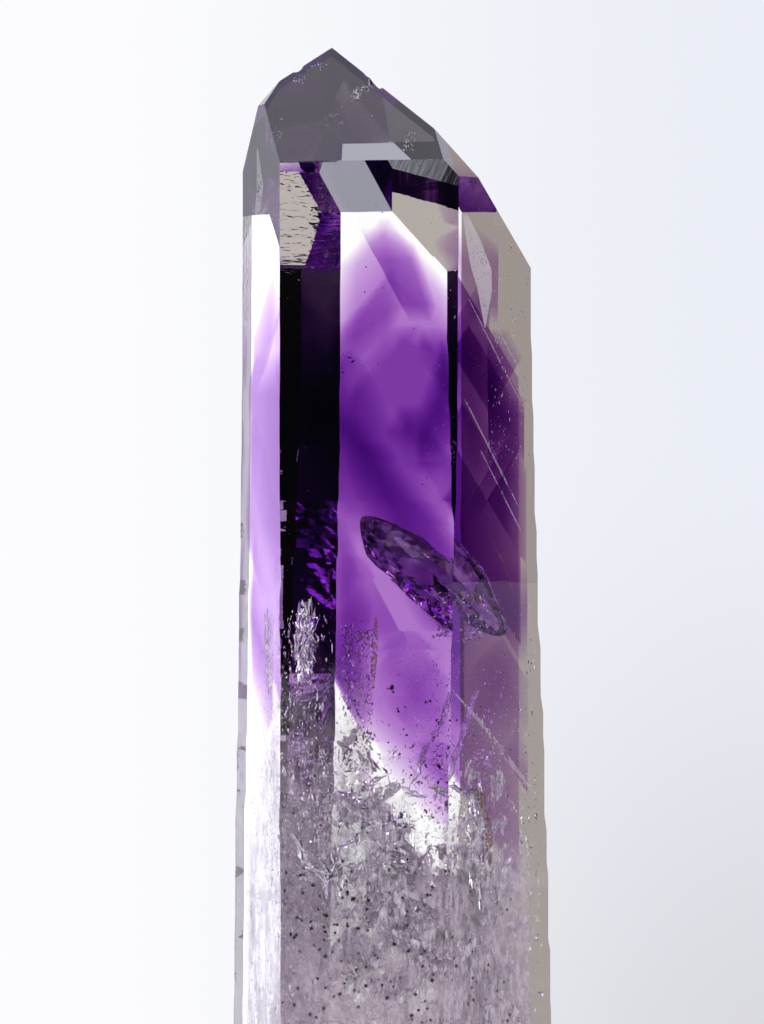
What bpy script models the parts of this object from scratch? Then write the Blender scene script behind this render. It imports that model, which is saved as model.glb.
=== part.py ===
"""Amethyst with quartz: one clear quartz crystal, cut flat where it left the rock.

The crystal is a six-sided prism under a slanting point. Its prism faces stay upright and step
outwards at low growth ledges on the way down, so the crystal widens towards its root. The ledges
are broad swells under the point and get shorter towards the root. Three large rhombohedral faces
meet in the tip and three small ones cut the corners between them. Chips along the ridges and the
left edge are scooped out by cutters.

The crystal stands on its cut, with +Z up and its broad front face turned a little left of -Y. The
origin is the centre of the base of its bounding box.
"""

import math
import random
from dataclasses import dataclass

import bmesh
import bpy
from mathutils import Matrix, Vector

MM = 0.001

# Driving dimensions in millimetres, and angles in degrees
HEIGHT = 90.0
FRONT_TURN = -12.7
RHOMBOHEDRON_DIP = 51.79

# Growth ledges, where a prism face steps in or out by a little
LEDGES_PER_FACE = 15
LEDGE_RISE_AT_POINT = 2.40
LEDGE_RISE_AT_ROOT = 1.20
LEDGE_RIPPLE = 0.035
FIRST_LEDGE_DROP = 16.0
LAST_LEDGE_HEIGHT = 2.5
ROW_GRID = 0.04
LEDGE_SEED = 7

# The blank runs past the tip, and the point's faces cut it back
BLANK_EXCESS = 6.0

CRYSTAL = "quartz_crystal"
QUARTZ_COLOUR = (0.80, 0.74, 0.88, 1.0)
QUARTZ_IOR = 1.544
QUARTZ_ROUGHNESS = 0.03


@dataclass(frozen=True)
class PrismFace:
    """One upright face of the prism.

    Attributes:
        name: Where the face looks.
        turn: Turn of its normal from the front face's, anticlockwise from above, in degrees.
        distance: Distance from the tip's axis just under the point, in millimetres.
        spread: How much farther out the face stands at the cut, in millimetres.
    """

    name: str
    turn: float
    distance: float
    spread: float


@dataclass(frozen=True)
class PointFace:
    """One slanting face of the point.

    Attributes:
        name: Where the face looks.
        turn: Turn of its normal from the front face's, anticlockwise from above, in degrees.
        over_tip: Height over the tip at which its plane meets the tip's axis, in millimetres.
    """

    name: str
    turn: float
    over_tip: float


@dataclass(frozen=True)
class Chip:
    """A scoop broken out of a ridge of the point or an edge of the prism.

    Attributes:
        name: Name of its cutter.
        turn: Direction of the ridge from the tip's axis, in degrees from the front.
        reach: Distance from the tip's axis, in millimetres.
        height: Height of the scoop's centre over the cut, in millimetres.
        size: Half lengths of the scoop along, across and up, in millimetres.
        lean: Tilt of the scoop about its across axis, in degrees.
    """

    name: str
    turn: float
    reach: float
    height: float
    size: tuple[float, float, float]
    lean: float


PRISM = (
    PrismFace("front", 0, 7.52, 1.70),
    PrismFace("right_front", 60, 14.10, 0.05),
    PrismFace("right_back", 120, 14.02, 2.20),
    PrismFace("back", 180, 14.00, 0.90),
    PrismFace("left_back", 240, 7.63, 1.30),
    PrismFace("left_front", 300, 5.88, 0.45),
)

POINT = (
    PointFace("front", 0, 0.0),
    PointFace("right_back", 120, 0.0),
    PointFace("left_back", 240, 0.0),
    PointFace("right_front", 60, 7.02),
    PointFace("back", 180, 4.99),
    PointFace("left_front", 300, 2.77),
)

CHIPS = (
    Chip("chip_left_ridge", 300, 3.1, 88.55, (0.75, 0.50, 0.62), -30),
    Chip("chip_right_ridge", 60, 4.9, 87.0, (0.85, 0.90, 0.62), 33),
    Chip("chip_right_ridge_small", 60, 3.9, 87.75, (0.60, 0.45, 0.30), 33),
    Chip("chip_back_ridge", 180, 4.6, 87.65, (0.70, 0.60, 0.45), 30),
    Chip("chip_left_edge", 270, 9.95, 10.6, (0.70, 0.90, 3.40), 0),
    Chip("chip_right_edge", 90, 17.75, 5.4, (0.80, 1.00, 2.20), 0),
)


def heading(turn: float) -> Vector:
    """Level unit vector of a direction, where 0 is the front face's normal.

    Args:
        turn: Degrees anticlockwise from above.

    Returns:
        The unit vector, in world axes.
    """
    angle = math.radians(FRONT_TURN + turn)
    return Vector((math.sin(angle), -math.cos(angle), 0.0))


def smooth_rise(share: float) -> float:
    """Ease from 0 to 1 along a share from 0 to 1, flat at both ends.

    Args:
        share: How far down the prism a ledge is, from 0 at the point to 1 at the cut.

    Returns:
        The eased share.
    """
    share = min(max(share, 0.0), 1.0)
    return share * share * (3.0 - 2.0 * share)


def ledge_profile(face: PrismFace, seed: int) -> list[tuple[float, float]]:
    """Outline of one prism face from top to bottom, as upright runs between sloping ledges.

    Args:
        face: The prism face.
        seed: Seed for where its ledges fall.

    Returns:
        Pairs of height over the cut and distance from the tip's axis, in millimetres.
    """
    chance = random.Random(seed)
    top = HEIGHT - FIRST_LEDGE_DROP
    run = top - LAST_LEDGE_HEIGHT
    distance = face.distance
    outline = [(HEIGHT + BLANK_EXCESS, distance)]
    for index in range(LEDGES_PER_FACE):
        share = (index + chance.uniform(0.25, 0.75)) / LEDGES_PER_FACE
        height = round((top - share * run) / ROW_GRID) * ROW_GRID
        rise = LEDGE_RISE_AT_POINT + (LEDGE_RISE_AT_ROOT - LEDGE_RISE_AT_POINT) * share
        reach = max(round(rise * chance.uniform(0.6, 1.0) / 2 / ROW_GRID), 1) * ROW_GRID
        outline.append((height + reach, distance))
        ripple = LEDGE_RIPPLE * chance.uniform(-1.0, 1.0)
        distance = face.distance + face.spread * smooth_rise(share + 0.5 / LEDGES_PER_FACE) + ripple
        outline.append((height - reach, distance))
    outline.append((0.0, distance))
    return outline


def distance_at(outline: list[tuple[float, float]], height: float) -> float:
    """Distance of a face from the tip's axis at one height.

    Args:
        outline: The face's outline from ledge_profile, from top to bottom.
        height: Height over the cut, in millimetres.

    Returns:
        The distance, read along the straight run that holds the height.
    """
    for (high, near), (low, far) in zip(outline, outline[1:]):
        if low <= height <= high:
            return far + (near - far) * (height - low) / (high - low)
    raise ValueError(f"no run of the outline holds height {height}")


def section_corner(first: Vector, first_distance: float, second: Vector, second_distance: float) -> Vector:
    """Level corner where two upright faces meet.

    Args:
        first: Unit normal of one face.
        first_distance: Its distance from the axis.
        second: Unit normal of the other face.
        second_distance: Its distance from the axis.

    Returns:
        The corner, with its height left at zero.
    """
    cross = first.x * second.y - first.y * second.x
    x = (first_distance * second.y - second_distance * first.y) / cross
    y = (second_distance * first.x - first_distance * second.x) / cross
    return Vector((x, y, 0.0))


def prism_blank() -> bmesh.types.BMesh:
    """Loft the prism through its six-sided sections, around the tip's axis.

    Returns:
        The closed blank in metres, from the cut to past the tip.
    """
    outlines = [ledge_profile(face, LEDGE_SEED + index) for index, face in enumerate(PRISM)]
    normals = [heading(face.turn) for face in PRISM]
    heights = sorted({round(height, 3) for outline in outlines for height, _ in outline})
    blank = bmesh.new()
    rings = []
    for height in heights:
        distances = [distance_at(outline, height) for outline in outlines]
        ring = []
        for index in range(len(PRISM)):
            following = (index + 1) % len(PRISM)
            corner = section_corner(normals[index], distances[index], normals[following], distances[following])
            ring.append(blank.verts.new((corner + Vector((0.0, 0.0, height))) * MM))
        rings.append(ring)
    for lower, upper in zip(rings, rings[1:]):
        for index in range(len(PRISM)):
            following = (index + 1) % len(PRISM)
            blank.faces.new((lower[index], lower[following], upper[following], upper[index]))
    blank.faces.new(list(reversed(rings[0])))
    blank.faces.new(rings[-1])
    return blank


def cut_point(blank: bmesh.types.BMesh) -> None:
    """Cut the slanting faces of the point, each along its own plane.

    Args:
        blank: The prism blank, changed in place.
    """
    dip = math.radians(RHOMBOHEDRON_DIP)
    for face in POINT:
        normal = heading(face.turn) * math.sin(dip) + Vector((0.0, 0.0, math.cos(dip)))
        on_axis = Vector((0.0, 0.0, (HEIGHT + face.over_tip) * MM))
        geometry = blank.verts[:] + blank.edges[:] + blank.faces[:]
        bmesh.ops.bisect_plane(
            blank, geom=geometry, dist=1e-7, plane_co=on_axis, plane_no=normal, clear_outer=True)
        rim = [edge for edge in blank.edges if edge.is_boundary]
        bmesh.ops.holes_fill(blank, edges=rim, sides=0)


def box_centre(blank: bmesh.types.BMesh) -> Vector:
    """Centre of the blank's bounding box, seen from above.

    Args:
        blank: The blank to measure.

    Returns:
        The centre, with its height left at zero.
    """
    xs = [vertex.co.x for vertex in blank.verts]
    ys = [vertex.co.y for vertex in blank.verts]
    return Vector(((min(xs) + max(xs)) / 2, (min(ys) + max(ys)) / 2, 0.0))


def add_cutter(chip: Chip, axis_place: Vector, cutters: bpy.types.Collection) -> bpy.types.Object:
    """Make the scoop that breaks one chip out, as a flattened ball of flat facets.

    Args:
        chip: The chip.
        axis_place: Where the tip's axis stands in the finished frame.
        cutters: The collection that holds the cutters.

    Returns:
        The cutter object.
    """
    mesh = bpy.data.meshes.new(chip.name)
    ball = bmesh.new()
    bmesh.ops.create_icosphere(ball, subdivisions=2, radius=1.0)
    place = axis_place + heading(chip.turn) * chip.reach * MM + Vector((0.0, 0.0, chip.height * MM))
    outward = math.radians(FRONT_TURN + chip.turn - 90.0)
    shape = (
        Matrix.Translation(place)
        @ Matrix.Rotation(outward, 4, "Z")
        @ Matrix.Rotation(math.radians(chip.lean), 4, "Y")
        @ Matrix.Diagonal(Vector(chip.size) * MM).to_4x4()
    )
    bmesh.ops.transform(ball, matrix=shape, verts=ball.verts)
    ball.to_mesh(mesh)
    ball.free()
    cutter = bpy.data.objects.new(chip.name, mesh)
    cutter.hide_render = True
    cutter.display_type = "WIRE"
    cutters.objects.link(cutter)
    return cutter


def quartz_material() -> bpy.types.Material:
    """Clear quartz with a breath of lilac, as grown: glassy flat faces.

    Returns:
        The material.
    """
    material = bpy.data.materials.new("clear_quartz")
    material.use_nodes = True
    shader = material.node_tree.nodes["Principled BSDF"]
    shader.inputs["Base Color"].default_value = QUARTZ_COLOUR
    shader.inputs["Roughness"].default_value = QUARTZ_ROUGHNESS
    shader.inputs["Metallic"].default_value = 0.0
    shader.inputs["IOR"].default_value = QUARTZ_IOR
    shader.inputs["Transmission Weight"].default_value = 1.0
    return material


def build() -> None:
    """Clear the scene and make the crystal with its cutters."""
    for old in list(bpy.data.objects):
        bpy.data.objects.remove(old, do_unlink=True)
    parts = bpy.data.collections.new("amethyst_with_quartz")
    cutters = bpy.data.collections.new("cutters")
    bpy.context.scene.collection.children.link(parts)
    bpy.context.scene.collection.children.link(cutters)

    blank = prism_blank()
    cut_point(blank)
    axis_place = -box_centre(blank)
    bmesh.ops.translate(blank, vec=axis_place, verts=blank.verts)
    bmesh.ops.recalc_face_normals(blank, faces=blank.faces)
    mesh = bpy.data.meshes.new(CRYSTAL)
    blank.to_mesh(mesh)
    blank.free()
    crystal = bpy.data.objects.new(CRYSTAL, mesh)
    crystal.data.materials.append(quartz_material())
    parts.objects.link(crystal)

    for chip in CHIPS:
        scoop = crystal.modifiers.new(chip.name, "BOOLEAN")
        scoop.operation = "DIFFERENCE"
        scoop.solver = "EXACT"
        scoop.object = add_cutter(chip, axis_place, cutters)


build()
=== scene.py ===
"""Looks of the amethyst with quartz: the clear crystal and everything that grew inside it.

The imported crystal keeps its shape. This script gives it the surface of natural quartz and fills it
with what the clear quartz shows: zones of amethyst colour that follow the growth faces, a fluid
cavity with crystal walls, cracks and healed veils, and specks of iron oxide. Lengths are in
millimetres in the crystal's own frame until they reach a mesh.
"""

import logging
import math
from dataclasses import dataclass
from enum import Enum
from itertools import combinations
from typing import Any, Sequence

import bpy
import numpy as np
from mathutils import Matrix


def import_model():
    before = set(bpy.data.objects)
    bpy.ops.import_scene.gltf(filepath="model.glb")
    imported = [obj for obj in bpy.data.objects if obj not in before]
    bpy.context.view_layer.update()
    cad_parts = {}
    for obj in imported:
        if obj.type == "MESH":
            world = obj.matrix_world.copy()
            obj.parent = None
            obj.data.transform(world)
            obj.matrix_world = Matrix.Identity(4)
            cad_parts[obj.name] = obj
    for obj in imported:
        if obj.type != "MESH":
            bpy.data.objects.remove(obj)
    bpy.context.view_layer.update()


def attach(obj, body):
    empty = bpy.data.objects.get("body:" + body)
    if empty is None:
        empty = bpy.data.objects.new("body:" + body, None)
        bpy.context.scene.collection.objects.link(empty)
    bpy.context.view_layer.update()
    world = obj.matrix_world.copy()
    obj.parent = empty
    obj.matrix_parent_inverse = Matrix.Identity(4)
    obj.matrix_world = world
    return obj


LOG = logging.getLogger("amethyst_with_quartz")

Array = np.ndarray
Pair = tuple[float, float]
Triple = tuple[float, float, float]
Plane = tuple[Array, float]
Piece = bpy.types.Object
Tree = bpy.types.NodeTree
Node = bpy.types.Node

MM = 0.001
CRYSTAL_NODE = "quartz_crystal"
BODY = "root"
UP = np.array([0.0, 0.0, 1.0])
BACKWARD = np.array([0.0, 1.0, 0.0])
WHITE = "#ffffff"

# Quartz itself: the turn of the front prism face from -Y, and the dip of the rhombohedral faces
FRONT_TURN_DEG = -12.7
RHOMBOHEDRON_DIP_DEG = 51.79
QUARTZ_IOR = 1.544


class Side(Enum):
    """The six directions of quartz's faces, as turns from the front face in degrees."""

    FRONT = 0.0
    RIGHT_FRONT = 60.0
    RIGHT_BACK = 120.0
    BACK = 180.0
    LEFT_BACK = 240.0
    LEFT_FRONT = 300.0


FRONT, RIGHT_FRONT, RIGHT_BACK, BACK, LEFT_BACK, LEFT_FRONT = Side

# Height over the tip at which each slanting face of the point crosses the tip's axis
POINT_RISE = {FRONT: 0.0, RIGHT_FRONT: 7.02, RIGHT_BACK: 0.0, BACK: 4.99, LEFT_BACK: 0.0, LEFT_FRONT: 2.77}

# Height of the cloudy root's top, and of its lower haze, at places along x, the two ends first
SKYLINE_MM = ((-10.5, 26.0), (10.5, 29.0), (-9.0, 43.0), (-3.2, 44.0), (-1.7, 46.5), (-1.0, 35.0),
              (2.0, 34.0), (3.0, 26.0), (4.2, 26.0), (5.0, 35.0), (8.6, 34.0), (9.4, 31.0))
HAZE_SKYLINE_MM = ((-10.0, 21.5), (10.0, 30.0), (-4.6, 21.5), (-2.6, 29.0))


def linear(hex_colour: str) -> tuple[float, float, float, float]:
    """Turn an sRGB hex colour into Blender's linear colour.

    Args:
        hex_colour: Six hex digits after a hash sign.

    Returns:
        Linear red, green and blue, and an alpha of one.
    """
    parts = [int(hex_colour[place:place + 2], 16) / 255.0 for place in (1, 3, 5)]
    bent = [part / 12.92 if part <= 0.04045 else ((part + 0.055) / 1.055) ** 2.4 for part in parts]
    return (*bent, 1.0)


def add_node(tree: Tree, kind: str, values: dict[Any, Any] | None = None, **settings: Any) -> Node:
    """Add one node with its settings and its inputs' values or links.

    Args:
        tree: Node tree that takes the node.
        kind: Blender's name for the kind of node, after the words ShaderNode.
        values: For each input in use, by name or place, a plain value, an output socket to link,
            or a node whose first output in use is linked.
        settings: Properties of the node.

    Returns:
        The new node.
    """
    node = tree.nodes.new("ShaderNode" + kind)
    for name, value in settings.items():
        setattr(node, name, value)
    inputs = [socket for socket in node.inputs if socket.enabled]
    named = {socket.name: socket for socket in inputs}
    for key, value in (values or {}).items():
        socket = named[key] if isinstance(key, str) else inputs[key]
        if isinstance(value, Node):
            value = next(output for output in value.outputs if output.enabled)
        if isinstance(value, bpy.types.NodeSocket):
            tree.links.new(value, socket)
        else:
            socket.default_value = value
    return node


def add_object(name: str, points: Array, faces: Sequence[Sequence[int]], material: bpy.types.Material,
               smooth: bool = False) -> Piece:
    """Put points and faces into a new object.

    Args:
        name: Name of the object.
        points: Corners in millimetres, one row each.
        faces: Corner numbers of each face, anticlockwise from outside.
        material: Its finish.
        smooth: Whether its faces are shaded as one curved surface.

    Returns:
        The object.
    """
    mesh = bpy.data.meshes.new(name)
    mesh.from_pydata((np.asarray(points) * MM).tolist(), [], faces)
    mesh.polygons.foreach_set("use_smooth", np.full(len(mesh.polygons), smooth))
    mesh.materials.append(material)
    mesh.update()
    thing = bpy.data.objects.new(name, mesh)
    bpy.context.scene.collection.objects.link(thing)
    return thing


def make_piece(name: str, points: Array, faces: Sequence[Sequence[int]], material: bpy.types.Material,
               smooth: bool = False) -> Piece:
    """Make an object that belongs to the crystal.

    Args:
        name: Name of the piece.
        points: Corners in millimetres, one row each.
        faces: Corner numbers of each face.
        material: Its finish.
        smooth: Whether its faces are shaded as one curved surface.

    Returns:
        The piece, riding on the crystal's body.
    """
    piece = add_object(name, points, faces, material, smooth)
    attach(piece, BODY)
    return piece


def unit_rows(vectors: Array) -> Array:
    """Scale each row to unit length."""
    return vectors / np.linalg.norm(vectors, axis=-1, keepdims=True)


def angles_around(count: int) -> Array:
    """Evenly spaced angles of a full turn, in radians."""
    return np.linspace(0.0, 2.0 * np.pi, count, endpoint=False)


def ripples(places: Array, wavelength: float, count: int, seed: int) -> Array:
    """Smooth uneven field: sine waves in all directions, summed and scaled by 0.6 sqrt(2 / count).

    Args:
        places: Points in millimetres, one row each.
        wavelength: Mean length of the waves, in millimetres; single ones are 0.5 to 1.6 times as long.
        count: Number of waves.
        seed: Seed for their directions, lengths and phases.

    Returns:
        One value for each point, mostly between -1 and 1.
    """
    chance = np.random.default_rng(seed)
    ways = unit_rows(chance.normal(size=(count, 3)))
    ways *= 2.0 * np.pi / (wavelength * chance.uniform(0.5, 1.6, (count, 1)))
    phases = chance.uniform(0.0, 2.0 * np.pi, count)
    return np.sin(places @ ways.T + phases).sum(axis=1) * math.sqrt(2.0 / count) * 0.6


def grid_faces(rows: int, columns: int, closed: bool) -> Array:
    """Four-sided faces of a grid of points that are numbered row by row.

    Args:
        rows: Number of rows.
        columns: Number of points in a row.
        closed: Whether the end of each row joins its start.

    Returns:
        Four corner numbers for each face.
    """
    here = np.arange(columns if closed else columns - 1)
    after = (here + 1) % columns
    starts = columns * np.arange(rows - 1)[:, None]
    corners = [starts + here, starts + after, starts + columns + after, starts + columns + here]
    return np.stack(corners, axis=-1).reshape(-1, 4)


@dataclass
class QuartzHabit:
    """Where quartz's faces lie on this crystal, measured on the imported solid.

    Attributes:
        tip: The crystal's tip.
        reach: For each side, how far the prism face stands from the tip's axis under the point.
        root_reach: The same at the cut.
        straight: How far down from the tip the prism keeps its width.
        flare: Power of the height with which it widens below that.
    """

    tip: Array
    reach: dict[Side, float]
    root_reach: dict[Side, float]
    straight: float = 16.0
    flare: float = 1.5

    @classmethod
    def from_frame(cls) -> "QuartzHabit":
        """Measure the tip, and the prism faces 13 to 30 mm under it and at the cut.

        Returns:
            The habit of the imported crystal.
        """
        mesh = bpy.data.objects[CRYSTAL_NODE].data
        flat = np.empty(3 * len(mesh.vertices))
        mesh.vertices.foreach_get("co", flat)
        corners = flat.reshape(-1, 3) / MM
        heights = corners[:, 2]
        tip = corners[heights.argmax()]
        bands = (corners[(heights > tip[2] - 30.0) & (heights < tip[2] - 13.0)], corners[heights < 0.5])
        return cls(tip, *({side: float(((band - tip) @ cls.heading(side)).max()) for side in Side}
                          for band in bands))

    @staticmethod
    def heading(side: Side) -> Array:
        """Level unit vector along a side's outward normal."""
        angle = math.radians(FRONT_TURN_DEG + side.value)
        return np.array([math.sin(angle), -math.cos(angle), 0.0])

    def upright(self, side: Side, inset: float) -> Plane:
        """Half-space inside a plane parallel to a prism face.

        Args:
            side: The prism face.
            inset: How far the plane lies inside that face.

        Returns:
            Outward unit normal and its distance from the frame's origin.
        """
        normal = self.heading(side)
        return normal, float(normal @ self.tip + self.reach[side] - inset)

    def slanting(self, side: Side, depth: float, flip: bool = False) -> Plane:
        """Half-space under, or over, a plane parallel to a rhombohedral face.

        Args:
            side: The face's direction.
            depth: How far below the tip the plane crosses the tip's axis.
            flip: Whether the half-space over the plane is meant.

        Returns:
            Outward unit normal and its distance from the frame's origin.
        """
        dip = math.radians(RHOMBOHEDRON_DIP_DEG)
        normal = self.heading(side) * math.sin(dip) + UP * math.cos(dip)
        distance = float(normal @ (self.tip - UP * depth))
        return (-normal, -distance) if flip else (normal, distance)

    def uprights(self, inset: float, but: Side | None = None) -> list[Plane]:
        """Half-spaces inside planes parallel to all prism faces, or to all but one."""
        return [self.upright(side, inset) for side in Side if side is not but]

    def holds(self, points: Array, skin: float) -> Array:
        """Tell which points lie in the clear crystal, at least a skin's thickness inside.

        Args:
            points: Points in millimetres, one row each.
            skin: Least distance from the crystal's faces.

        Returns:
            True or False for each point.
        """
        top = self.tip[2] - self.straight
        down = np.clip((top - points[:, 2]) / top, 0.0, 1.0) ** self.flare
        kept = points[:, 2] > skin
        for side in Side:
            face = self.reach[side] + (self.root_reach[side] - self.reach[side]) * down
            kept &= (points - self.tip) @ self.heading(side) < face - skin
            normal, distance = self.slanting(side, -POINT_RISE[side])
            kept &= points @ normal < distance - skin
        return kept


def solid_from_planes(planes: Sequence[Plane]) -> tuple[Array, list[list[int]]]:
    """Closed solid that lies inside all of some half-spaces.

    Every three planes meet in a point, found by solving their equations together. A point is a
    corner of the solid if it lies inside all half-spaces. Each face is the corners on its plane,
    ordered by their angle around the face's middle.

    Args:
        planes: Outward unit normals with their distances from the origin.

    Returns:
        The corners and the faces as corner numbers.
    """
    slack, touching = 1e-6, 1e-4
    normals = np.array([normal for normal, _ in planes])
    offsets = np.array([offset for _, offset in planes])
    triples = np.array(list(combinations(range(len(planes)), 3)))
    triples = triples[np.abs(np.linalg.det(normals[triples])) > slack]
    points = np.linalg.solve(normals[triples], offsets[triples][..., None])[..., 0]
    inside = (points @ normals.T <= offsets + slack).all(axis=1)
    corners = np.unique(points[inside].round(5), axis=0)
    faces = []
    for normal, offset in zip(normals, offsets):
        on_plane = np.flatnonzero(np.abs(corners @ normal - offset) < touching)
        if len(on_plane) < 3:
            continue
        around = corners[on_plane] - corners[on_plane].mean(axis=0)
        first = around[0] / np.linalg.norm(around[0])
        angles = np.arctan2(around @ np.cross(normal, first), around @ first)
        faces.append(on_plane[np.argsort(angles)].tolist())
    return corners, faces


def first_face(planes: Sequence[Plane]) -> tuple[Array, list[list[int]]]:
    """The part of the first plane that lies inside all half-spaces, as corners and one face."""
    corners, faces = solid_from_planes(planes)
    return corners[faces[0]], [list(range(len(faces[0])))]


def flakes(centres: Array, normals: Array, longs: Array, sizes: Array) -> tuple[Array, Array]:
    """Many small diamond-shaped flakes as eight-faced double pyramids.

    Each flake's six corners lie at plus and minus its half sizes along its long way, across it
    and along its normal.

    Args:
        centres: Middle of each flake.
        normals: Unit normal of each flake.
        longs: Rough long way of each flake.
        sizes: Half length, half width and half thickness of each flake.

    Returns:
        All corners, and all triangles as corner numbers.
    """
    across = unit_rows(np.cross(normals, longs))
    axes = np.stack([np.cross(across, normals), across, normals], axis=1) * sizes[:, :, None]
    corners = centres[:, None, :] + np.concatenate([axes, -axes], axis=1)
    upper = [(0, 1, 2), (1, 3, 2), (3, 4, 2), (4, 0, 2)]
    lower = [(1, 0, 5), (3, 1, 5), (4, 3, 5), (0, 4, 5)]
    triangles = np.array(upper + lower) + 6 * np.arange(len(centres))[:, None, None]
    return corners.reshape(-1, 3), triangles.reshape(-1, 3)


class Finish:
    """What all finishes share: a name, and nodes that end in the material's output."""

    name: str

    def nodes(self, tree: Tree) -> dict[str, Node]:
        """Lay out the nodes, and return those that end in the surface and in the volume."""
        raise NotImplementedError

    def material(self) -> bpy.types.Material:
        """Make the material.

        Returns:
            The material, with its nodes linked to its output.
        """
        material = bpy.data.materials.new(self.name)
        material.use_nodes = True
        material.node_tree.nodes.clear()
        add_node(material.node_tree, "OutputMaterial", self.nodes(material.node_tree))
        return material


@dataclass(frozen=True)
class ClearQuartzFinish(Finish):
    """Natural rock crystal, grown from hot water, with glassy faces under fine level growth lines.

    Light goes straight through it with hardly any colour. The faint relief breaks reflections into
    thin level streaks, and the upper part of the left back face carries deeper lines.

    Attributes:
        name: Name of the material.
        spacing_mm: Mean distance between fine lines, and between deep ones.
        depth_mm: Depth of the fine lines, and of the deep ones.
        change_per_m: How often a fine line, and a deep one, changes along one metre.
        deep_from_mm: Heights between which the deep lines set in.
        cut_roughness: Roughness of the flat cut.
        absorb_hex: Colour of the faint tint.
        absorb_per_m: Strength of the tint.
    """

    name: str = "natural_clear_quartz"
    spacing_mm: Pair = (0.5, 0.45)
    depth_mm: Pair = (0.0015, 0.010)
    change_per_m: Pair = (180.0, 420.0)
    deep_from_mm: Pair = (66.0, 70.0)
    cut_roughness: float = 0.5
    absorb_hex: str = "#ece8ee"
    absorb_per_m: float = 5.0

    def nodes(self, tree: Tree) -> dict[str, Node]:
        """Lay out level lines in relief on upright faces, the matt cut and the tint.

        Args:
            tree: The material's nodes.

        Returns:
            The nodes that end in the surface and the volume.
        """
        place = add_node(tree, "TexCoord").outputs["Object"]
        facing = add_node(tree, "NewGeometry").outputs["True Normal"]
        left_back = tuple(QuartzHabit.heading(LEFT_BACK))
        leans = [add_node(tree, "VectorMath", {0: facing, 1: way}, operation="DOT_PRODUCT")
                 for way in (tuple(UP), left_back)]
        level, along = [add_node(tree, "Math", {0: lean}, operation="ABSOLUTE") for lean in leans]
        outside = add_node(tree, "VectorMath", {0: place, 1: left_back}, operation="DOT_PRODUCT")
        height = add_node(tree, "SeparateXYZ", {"Vector": place}).outputs["Z"]
        high_from, high_to = self.deep_from_mm
        # How level a face is tells upright faces and the cut, and how it faces tells the left back one
        upright, cut, on_left_back, behind, high = [
            add_node(tree, "MapRange", {"Value": value, "From Min": none, "From Max": full})
            for value, none, full in ((level, 0.3, 0.1), (level, 0.9, 0.98), (along, 0.9, 0.98),
                                      (outside, 2.0 * MM, 3.0 * MM), (height, high_from * MM, high_to * MM))]
        behind = add_node(tree, "Math", {0: on_left_back, 1: behind}, operation="MULTIPLY")
        deep = add_node(tree, "Math", {0: behind, 1: high}, operation="MULTIPLY")
        relief = {}
        both = zip(self.spacing_mm, self.depth_mm, self.change_per_m, (upright, deep))
        for spacing, depth, change, share in both:
            squeezed = add_node(tree, "Mapping", {
                "Vector": place, "Scale": (change, change, 1.0 / (spacing * MM))})
            lines = add_node(tree, "TexNoise", {"Vector": squeezed, "Scale": 1.0, "Detail": 2.0})
            lines = add_node(tree, "Math", {0: lines, 1: share}, operation="MULTIPLY")
            relief = {"Normal": add_node(tree, "Bump", {
                "Height": lines, "Strength": 1.0, "Distance": depth * MM, **relief})}
        ground = add_node(tree, "Math", {0: cut, 1: self.cut_roughness}, operation="MULTIPLY")
        glass = {"Base Color": linear(WHITE), "Roughness": ground, "IOR": QUARTZ_IOR,
                 "Transmission Weight": 1.0}
        return {"Surface": add_node(tree, "BsdfPrincipled", glass | relief),
                "Volume": add_node(tree, "VolumeAbsorption", {
                    "Color": linear(self.absorb_hex), "Density": self.absorb_per_m})}


@dataclass(frozen=True)
class AmethystFinish(Finish):
    """Amethyst colour, from iron in the quartz that natural radiation has turned violet.

    The zone is the same quartz as around it, so its edge bends no light. It only takes out green,
    then red, then blue, the more of it light has crossed.
    """

    name: str
    absorb_per_mm: float
    absorb_hex: str = "#bb00d8"

    def nodes(self, tree: Tree) -> dict[str, Node]:
        """Lay out an edge that bends no light around the violet volume."""
        return {"Surface": add_node(tree, "BsdfPrincipled", {
                    "Base Color": linear(WHITE), "Roughness": 0.0, "IOR": 1.0, "Transmission Weight": 1.0}),
                "Volume": add_node(tree, "VolumeAbsorption", {
                    "Color": linear(self.absorb_hex), "Density": self.absorb_per_mm / MM})}


@dataclass(frozen=True)
class GasInQuartzFinish(Finish):
    """A gas-filled gap inside quartz, walled by smooth crystal faces or a fresh break.

    Seen from the quartz its index is the reciprocal of quartz's, so a wall that is seen aslant
    turns light back like a mirror.
    """

    name: str
    wall_hex: str = WHITE
    gloss_hex: str = WHITE
    clearness: float = 1.0

    def nodes(self, tree: Tree) -> dict[str, Node]:
        """Lay out the clear walls."""
        return {"Surface": add_node(tree, "BsdfPrincipled", {
            "Base Color": linear(self.wall_hex), "Roughness": 0.0, "IOR": 1.0 / QUARTZ_IOR,
            "Specular Tint": linear(self.gloss_hex), "Transmission Weight": self.clearness})}


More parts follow.
